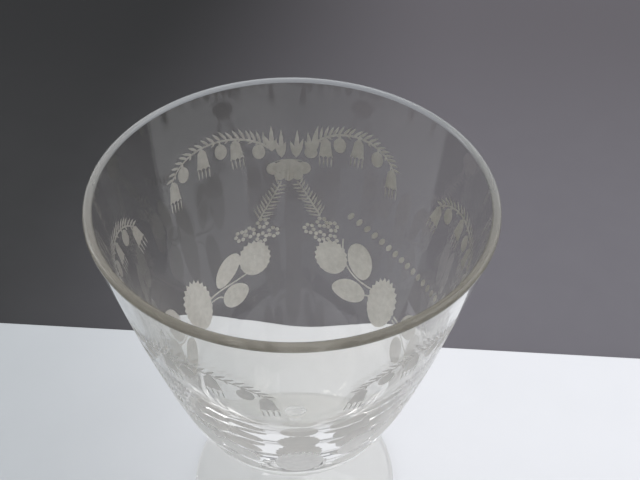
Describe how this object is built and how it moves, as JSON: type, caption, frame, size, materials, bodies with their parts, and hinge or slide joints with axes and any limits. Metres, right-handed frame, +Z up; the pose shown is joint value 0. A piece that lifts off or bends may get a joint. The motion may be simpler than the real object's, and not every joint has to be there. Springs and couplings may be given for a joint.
{
  "type": "stemmed goblet",
  "caption": "Clear glass drinking goblet: an open tapering bowl with rounded bottom, a slender stem and a round foot to stand on.",
  "frame": {"origin": "centre of the foot's resting plane", "axes": "+Z up along the stem, from the foot to the rim; +Y away from the picture's camera; +X to its right"},
  "size_m": [0.084, 0.084, 0.124],
  "materials": {
    "bowl_glass": "polished, with matte wheel-cut ornament",
    "stem_glass": "polished",
    "foot_glass": "polished"
  },
  "bodies": {
    "root": {"bowl": "bowl_glass", "stem": "stem_glass", "foot": "foot_glass"}
  },
  "joints": []
}
